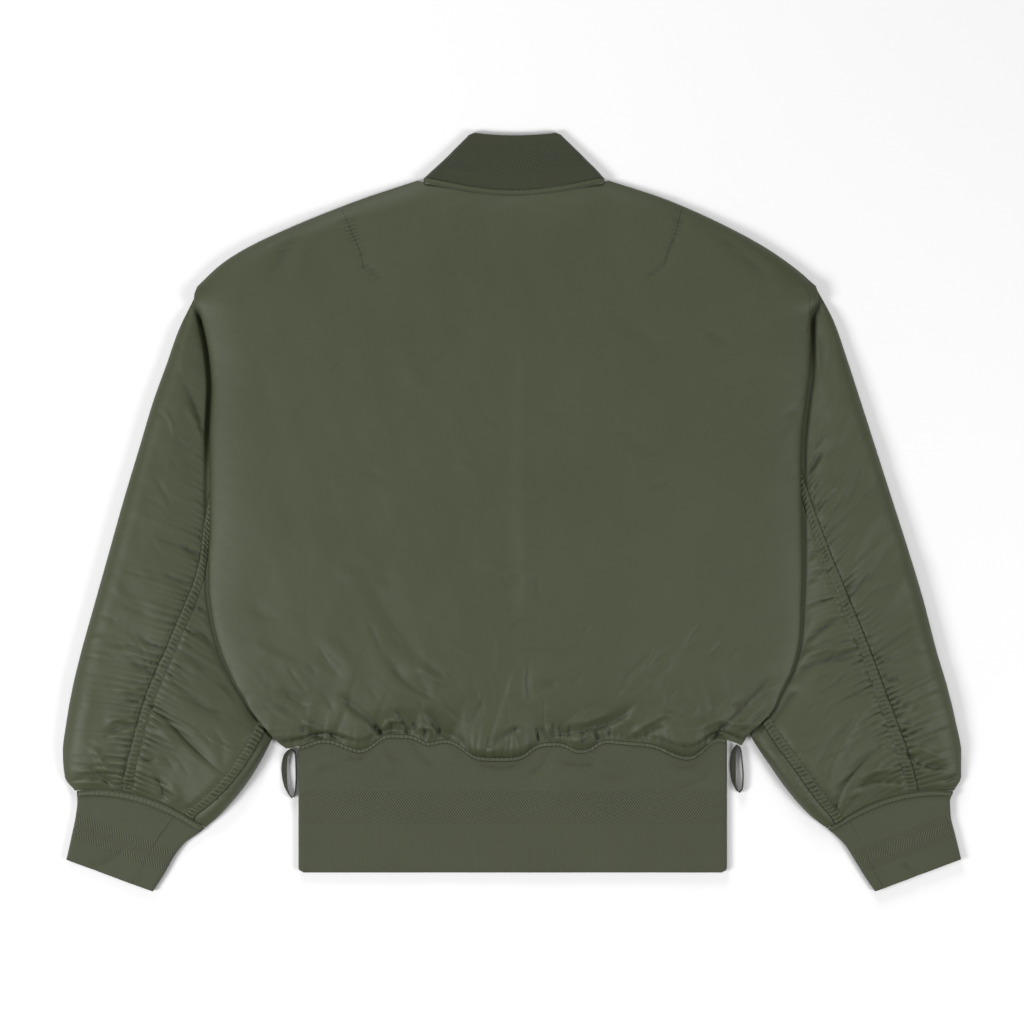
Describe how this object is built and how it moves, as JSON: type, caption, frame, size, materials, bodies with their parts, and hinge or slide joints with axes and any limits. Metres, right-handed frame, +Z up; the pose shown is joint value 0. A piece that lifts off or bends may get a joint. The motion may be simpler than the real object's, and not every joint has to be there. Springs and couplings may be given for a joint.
{
  "type": "bomber jacket",
  "caption": "Padded nylon bomber jacket with ribbed collar, cuffs and hem, zipped shut and laid out flat on its front.",
  "frame": {"origin": "middle of the jacket's footprint, on the surface that it lies on", "axes": "+Z up out of the back, +Y towards the collar, +X towards the wearer's right sleeve"},
  "size_m": [0.9, 0.7597, 0.0256],
  "materials": {
    "nylon": "olive nylon satin, soft sheen",
    "rib": "matt rib knit",
    "tape": "woven tape",
    "metal": "darkened zip metal, satin"
  },
  "bodies": {
    "jacket": {"back": "nylon", "collar": "rib", "cuff_left": "rib", "cuff_right": "rib", "front_left": "nylon", "front_right": "nylon", "hem_band": "rib", "loop_left": "tape", "loop_right": "tape", "sleeve_back_left": "nylon", "sleeve_back_right": "nylon", "sleeve_top_left": "nylon", "sleeve_top_right": "nylon", "zip_chain": "metal", "zip_slider": "metal", "zip_tape_left": "tape", "zip_tape_right": "tape"},
    "pull_tab": {"zip_pull": "metal"}
  },
  "joints": [
    {"name": "pull_tab_swing", "type": "hinge", "parent": "jacket", "child": "pull_tab", "pos_m": [0, 0.248, 0.0014], "axis": [1, 0, 0], "range_deg": [0, 165]}
  ]
}
